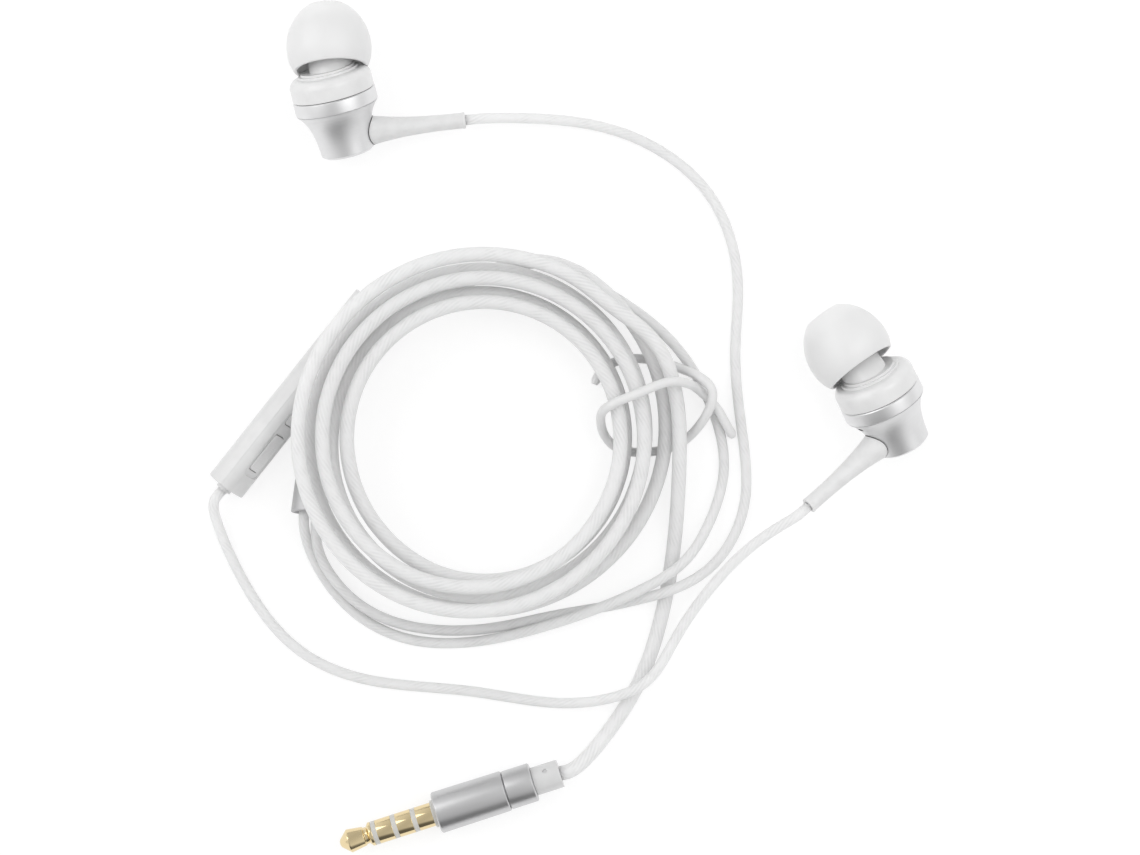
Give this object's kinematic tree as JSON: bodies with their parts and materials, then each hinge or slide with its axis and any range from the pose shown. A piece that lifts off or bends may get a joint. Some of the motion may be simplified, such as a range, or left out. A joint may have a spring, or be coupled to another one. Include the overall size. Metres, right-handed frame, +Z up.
{
  "type": "wired earphones",
  "caption": "In-ear earphones with metal-banded housings, silicone tips, an inline remote, a splitter, a tied coil of cord and a 3.5 mm plug",
  "frame": {"origin": "On the surface that the earphones lie on, under the middle of the box round the two earbuds", "axes": "+Z up from that surface, +X from the left earbud towards the right earbud, +Y towards the left earbud's tip"},
  "size_m": [0.1032, 0.1219, 0.0128],
  "materials": {
    "silicone": "translucent satin silicone",
    "dark_mesh": "black woven mesh",
    "foam": "open grey foam",
    "white_plastic": "white gloss moulding",
    "button_plastic": "white satin moulding",
    "polished_metal": "turned and polished, bright bevels",
    "silver_metal": "bead blasted and anodised silver",
    "white_rubber": "white satin elastomer",
    "membrane_film": "thin translucent film",
    "copper": "enamelled copper wire",
    "driver_steel": "nickel plated",
    "circuit_board": "green solder mask",
    "wire_sheath": "thin coloured insulation",
    "gold_contact": "gold plated and polished",
    "insulator_plastic": "dark grey moulding",
    "cord_jacket": "white glossy jacket with a faint twist showing",
    "tie_plastic": "white coated wire"
  },
  "bodies": {
    "earphones": {"left_nozzle_screen": "dark_mesh", "left_nozzle_foam": "foam", "left_front_cap": "white_plastic", "left_band": "polished_metal", "left_bell": "silver_metal", "left_vent_mesh": "dark_mesh", "left_boot": "white_rubber", "left_diaphragm": "membrane_film", "left_voice_coil": "copper", "left_pole_plate": "driver_steel", "left_magnet": "driver_steel", "left_driver_frame": "driver_steel", "left_driver_board": "circuit_board", "left_lead_wires": "wire_sheath", "right_nozzle_screen": "dark_mesh", "right_nozzle_foam": "foam", "right_front_cap": "white_plastic", "right_band": "polished_metal", "right_bell": "silver_metal", "right_vent_mesh": "dark_mesh", "right_boot": "white_rubber", "right_diaphragm": "membrane_film", "right_voice_coil": "copper", "right_pole_plate": "driver_steel", "right_magnet": "driver_steel", "right_driver_frame": "driver_steel", "right_driver_board": "circuit_board", "right_lead_wires": "wire_sheath", "remote_cover": "white_plastic", "remote_base": "white_plastic", "remote_board": "circuit_board", "remote_switches": "driver_steel", "microphone": "driver_steel", "remote_glands": "white_rubber", "splitter_tube": "silver_metal", "splitter_insert": "white_rubber", "splitter_core": "white_rubber", "plug_tip": "gold_contact", "plug_first_ring": "gold_contact", "plug_second_ring": "gold_contact", "plug_sleeve": "gold_contact", "plug_insulators": "insulator_plastic", "plug_core": "insulator_plastic", "plug_collar": "white_plastic", "plug_barrel": "silver_metal", "plug_end_cap": "silver_metal", "plug_relief": "white_rubber", "main_cord_lead": "cord_jacket", "main_cord_coil": "cord_jacket", "main_cord_tail": "cord_jacket", "left_branch_cord": "cord_jacket", "right_branch_upper_cord": "cord_jacket", "right_branch_lower_cord": "cord_jacket", "cord_tie": "tie_plastic"},
    "left_ear_tip_body": {"left_ear_tip": "silicone"},
    "right_ear_tip_body": {"right_ear_tip": "silicone"},
    "upper_button_body": {"upper_button": "button_plastic"},
    "centre_button_body": {"centre_button": "button_plastic"},
    "lower_button_body": {"lower_button": "button_plastic"}
  },
  "joints": [
    {"name": "left_ear_tip_pull", "type": "slide", "parent": "earphones", "child": "left_ear_tip_body", "axis": [-0.1004, 0.9814, -0.1635], "range_m": [0, 0.005]},
    {"name": "right_ear_tip_pull", "type": "slide", "parent": "earphones", "child": "right_ear_tip_body", "axis": [-0.5743, 0.8024, -0.1623], "range_m": [0, 0.005]},
    {"name": "upper_button_press", "type": "slide", "parent": "earphones", "child": "upper_button_body", "axis": [-0.6787, 0.5379, -0.5], "range_m": [0, 0.00025], "stiffness_N_per_m": 400, "springref_m": -0.0008},
    {"name": "centre_button_press", "type": "slide", "parent": "earphones", "child": "centre_button_body", "axis": [-0.6787, 0.5379, -0.5], "range_m": [0, 0.00025], "stiffness_N_per_m": 400, "springref_m": -0.0008},
    {"name": "lower_button_press", "type": "slide", "parent": "earphones", "child": "lower_button_body", "axis": [-0.6787, 0.5379, -0.5], "range_m": [0, 0.00025], "stiffness_N_per_m": 400, "springref_m": -0.0008}
  ]
}
